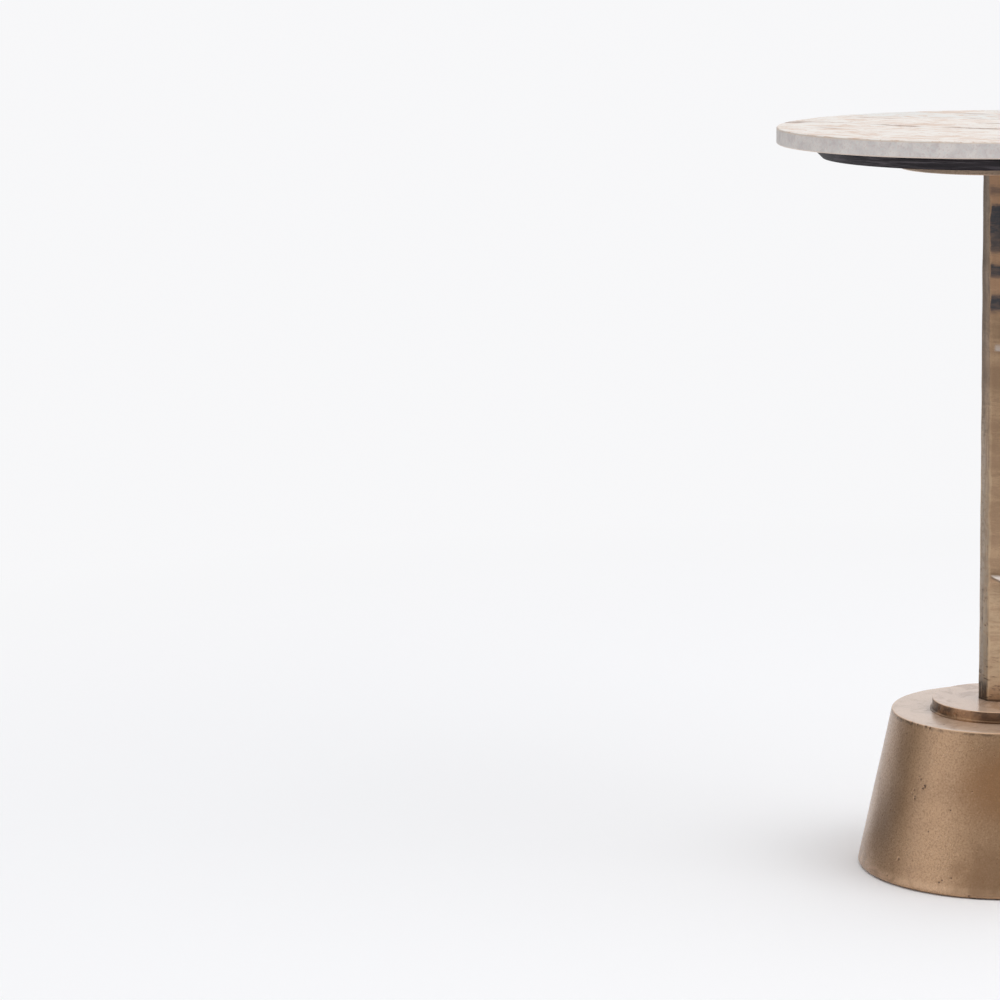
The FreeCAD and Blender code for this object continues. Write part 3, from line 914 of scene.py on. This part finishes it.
# Rust veins in the top: start, end and half width in millimetres, and strength.
rust_veins = (
    (-204, 4, -170, 14, 13.0, 1.00), (-176, 20, -128, 4, 4.0, 0.60), (-108, -8, -64, -31, 7.0, 1.00),
    (-44, -33, 8, -50, 8.0, 1.00), (8, -50, 52, -66, 5.0, 0.80), (-64, 134, -40, 128, 8.0, 0.80),
    (-47, 74, -16, 63, 5.0, 0.60), (-24, 22, 30, -4, 5.0, 0.55), (62, -66, 118, -92, 6.0, 0.90),
    (128, -94, 172, -88, 4.0, 0.65), (40, 118, 122, 86, 6.0, 0.80), (70, 6, 150, -18, 5.0, 0.60),
    (-152, -45, -128, -61, 4.0, 0.55), (10, -150, 66, -166, 5.0, 0.60), (-150, 84, -96, 62, 5.0, 0.50))

marble, shader, place = start_finish("veined_marble")
tree = marble.node_tree
place_parts = add_node(tree, "SeparateXYZ", {0: place}).outputs
height_in_stone = place_parts["Z"]
turned_place = add_node(tree, "Mapping", {"Vector": place, "Rotation": (0, 0, vein_turn)}).outputs["Vector"]
streaked = stretched(turned_place, (0.36, 1.0, 1.0))
clouds = grain(turned_place, 6, detail=4.0, distortion=0.8)
wisps = grain(streaked, 60, detail=8.0, roughness=0.70, distortion=1.0)
hairs = grain(streaked, 150, detail=6.0, roughness=0.66, distortion=1.5)
crystals = grain(place, 85, detail=5.0, roughness=0.56, distortion=0.5)
sugar = grain(place, 520, detail=3.0)
on_top = fade(height_in_stone, stone_height - 0.0011, stone_height - 0.0003)
to_the_back = fade(place_parts["Y"], -0.03, 0.11, 0.15, 1.0)
whitened = product(fade(clouds, 0.38, 0.52), to_the_back)
tone = mixed(whitened, stone_cream, stone_white)
tone = mixed(fade(wisps, 0.49, 0.62, 0.0, 0.74), tone, stone_peach)
tone = mixed(fade(hairs, 0.54, 0.62, 0.0, 0.76), tone, stone_peach)
wave = {"Vector": streaked, "Scale": 34.0, "Detail": 7.0, "Roughness": 0.62}
wave = add_node(tree, "TexNoise", wave).outputs["Color"]
wave = vector_math("MULTIPLY", vector_math("SUBTRACT", wave, (0.5, 0.5, 0.5)), vein_wave)
on_plan = vector_math("ADD", vector_math("MULTIPLY", place, (1, 1, 0)), wave)
frayed = fade(hairs, 0.35, 0.65, 0.0020, -0.0018)
rust_lines = []
for start_x, start_y, end_x, end_y, half_width, strength in rust_veins:
    start = Vector((start_x, start_y, 0)) / 1000
    run = Vector((end_x, end_y, 0)) / 1000 - start
    from_start = vector_math("SUBTRACT", on_plan, start)
    share = vector_math("DOT_PRODUCT", from_start, run / run.length_squared)
    share = add_node(tree, "Clamp", {"Value": share}).outputs["Result"]
    nearest = add_node(tree, "VectorMath", {0: run, "Scale": share}, operation="SCALE").outputs[0]
    off_line = sum_of(vector_math("DISTANCE", from_start, nearest), frayed)
    on_line = fade(off_line, half_width / 8000, half_width / 1000, strength, 0.0)
    from_middle = absolute(sum_of(share, -0.5))
    rust_lines.append(product(on_line, fade(from_middle, 0.30, 0.50, 1.0, 0.35)))
rust_here = product(largest(*rust_lines), fade(hairs, 0.30, 0.56, 0.35, 1.0))
tone = mixed(rust_here, tone, stone_rust)
edge_tone = mixed(fade(crystals, 0.36, 0.70), stone_edge_pale, stone_mauve)
edge_tone = mixed(fade(sugar, 0.50, 0.68, 0.0, 0.60), edge_tone, stone_white)
edge_tone = mixed(fade(sugar, 0.34, 0.48, 0.45, 0.0), edge_tone, stone_rose)
# Painted highlights along the eased arrises of the edge.
low_arris_highlight = fade(height_in_stone, stone_underside + 0.0005, stone_underside + 0.0013, 0.8, 0.0)
high_arris_highlight = fade(height_in_stone, stone_height - 0.0020, stone_height - 0.0010, 0.0, 0.8)
edge_tone = mixed(largest(low_arris_highlight, high_arris_highlight), edge_tone, stone_arris_highlight)
set_inputs(shader, {
    "Base Color": mixed(on_top, edge_tone, tone),
    "Roughness": fade(crystals, 0.3, 0.7, 0.34, 0.46)})
relief(shader, sum_of(crystals, product(sugar, 0.4)), stone_relief)
dress(marble, "stone_top")


# Floor: a sheet of matt white paper that the table stands on, which keeps its shadow and pales
# into the background away from it. A dark card at its left is seen only in reflections.
paper_white = (0.945, 0.948, 0.968, 1)
far_white = (0.935, 0.935, 0.947, 1)
dark_room_floor = (0.100, 0.098, 0.096, 1)
paper_radius = 4.0
camera_bearing = 10.0

bpy.ops.object.select_all(action="DESELECT")
bpy.ops.mesh.primitive_circle_add(vertices=96, radius=paper_radius, fill_type="NGON", location=(0, 0, 0))
paper = bpy.context.active_object
paper.name = "paper_floor"
floor_finish, shader, place = start_finish("matt_white_paper")
tree = floor_finish.node_tree
out_from_table = vector_math("LENGTH", place)
to_camera = {"Vector": place, "Rotation": (0, 0, -math.radians(camera_bearing))}
to_camera = add_node(tree, "Mapping", to_camera).outputs["Vector"]
faced = vector_math("MULTIPLY", to_camera, (-1, -1, -1))
faced = add_node(tree, "SeparateXYZ", {0: faced}).outputs
to_left = worked_out("ARCTAN2", faced["X"], faced["Y"])
card_sides = [math.radians(degrees) for degrees in (74, 92, 112, 132)]
dark_card = product(between(out_from_table, 0.13, 0.32, 0.62, 0.92),
                    between(to_left, *card_sides), add_node(tree, "LightPath").outputs["Is Glossy Ray"])
off_paper = largest(dark_card, fade(out_from_table, 1.3, 3.0))
set_inputs(shader, {
    "Base Color": mixed(off_paper, paper_white, dark_room_floor),
    "Roughness": 0.9, "Specular IOR Level": 0.1})
glow = add_node(tree, "Emission", {"Color": far_white, "Strength": 1.0})


def seen_behind(behind):
    """How far a ray shows the white background: camera rays all round, mirrored rays behind the table."""
    rays = add_node(behind.id_data, "LightPath").outputs
    mirrored = largest(rays["Is Glossy Ray"], rays["Is Transmission Ray"])
    return largest(rays["Is Camera Ray"], product(mirrored, behind))


behind_table = fade(faced["Y"], -0.60, -0.10, 1.0, 0.0)
paled = product(seen_behind(behind_table), fade(out_from_table, 0.80, 1.70))
both = add_node(tree, "MixShader", {0: paled, 1: shader.outputs[0], 2: glow.outputs[0]})
tree.links.new(both.outputs[0], tree.nodes["Material Output"].inputs["Surface"])
paper.data.materials.append(floor_finish)


# Studio: a white wall behind the table, a tall white screen at its left front, a dark gap beyond
# that screen and a dim room behind the camera, all as the light of the world, and one soft lamp.
ceiling_level = 1.03
below_level = 0.30
# Light round the table: share of the way round, from behind it to the left and front, and level.
room_levels = ((0.000, 1.00), (0.030, 1.00), (0.060, 0.45), (0.135, 0.38), (0.165, 0.05), (0.250, 0.03),
               (0.285, 1.00), (0.370, 1.00), (0.418, 0.22), (0.500, 0.14), (0.600, 0.17), (0.680, 0.45),
               (0.740, 0.90), (1.000, 1.00))
softbox_bearing = 71.0
softbox_rise = 50.0
softbox_distance = 2.3
softbox_side = 1.4
softbox_watts = 10.2


def grey(level):
    """A grey of one level."""
    return (level, level, level, 1)


world = bpy.data.worlds.new("studio")
bpy.context.scene.world = world
world.use_nodes = True
tree = world.node_tree
tree.nodes.clear()
towards = add_node(tree, "TexCoord").outputs["Generated"]
rise = add_node(tree, "SeparateXYZ", {0: towards}).outputs["Z"]
around = {"Vector": towards, "Rotation": (0, 0, math.radians(90 - camera_bearing))}
around = add_node(tree, "Mapping", around).outputs["Vector"]
around = add_node(tree, "TexGradient", {"Vector": around}, gradient_type="RADIAL").outputs["Fac"]
ring = add_node(tree, "ValToRGB", {"Fac": around})
stops = ring.color_ramp.elements
for index, (share, level) in enumerate(room_levels):
    stop = stops[index] if index < 2 else stops.new(share)
    stop.position = share
    stop.color = grey(level)
ring_light = ring.outputs["Color"]
lowered = sum_of(rise, fade(ring_light, 0.04, 0.15, -0.45, 0.0))
lit = mixed(fade(lowered, 0.24, 0.48), ring_light, grey(ceiling_level))
lit = mixed(fade(rise, -0.05, 0.0, 1.0, 0.0), lit, grey(below_level))
wall_behind = fade(absolute(sum_of(around, -0.5)), 0.445, 0.475)
lit = mixed(seen_behind(wall_behind), lit, far_white)
back = add_node(tree, "Background", {"Color": lit, "Strength": 1.0})
add_node(tree, "OutputWorld", {"Surface": back.outputs[0]})

lamp_turn = math.radians(camera_bearing + softbox_bearing)
lamp_rise = math.radians(softbox_rise)
lamp_place = Vector((math.sin(lamp_turn) * math.cos(lamp_rise), -math.cos(lamp_turn) * math.cos(lamp_rise),
                     math.sin(lamp_rise))) * softbox_distance
bpy.ops.object.light_add(type="AREA", location=lamp_place)
lamp = bpy.context.active_object
lamp.name = "key_softbox"
lamp.data.shape = "RECTANGLE"
lamp.data.size = softbox_side
lamp.data.size_y = softbox_side
lamp.data.energy = softbox_watts
lamp.rotation_euler = (-lamp_place).to_track_quat("-Z", "Y").to_euler()


# Camera: a long lens about three metres away, a little above the top of the table, turned
# aside so that the table stands at the right edge of the picture.
camera_distance = 3.0285
camera_height = 0.8455
camera_aside = 8.077
camera_down = 9.881
camera_roll = -0.754
camera_lens = 129.12

bpy.ops.object.camera_add()
camera = bpy.context.active_object
camera.name = "photo_camera"
camera.data.lens = camera_lens
camera.data.sensor_width = 36.0
bearing = math.radians(camera_bearing)
stand = Vector((math.sin(bearing) * camera_distance, -math.cos(bearing) * camera_distance, camera_height))
turn = Matrix.Rotation(math.radians(camera_bearing + camera_aside), 4, "Z")
tilt = Matrix.Rotation(math.radians(90 - camera_down), 4, "X")
roll = Matrix.Rotation(math.radians(camera_roll), 4, "Z")
camera.matrix_world = Matrix.Translation(stand) @ turn @ tilt @ roll
bpy.context.scene.camera = camera
bpy.context.scene.view_settings.view_transform = "Standard"
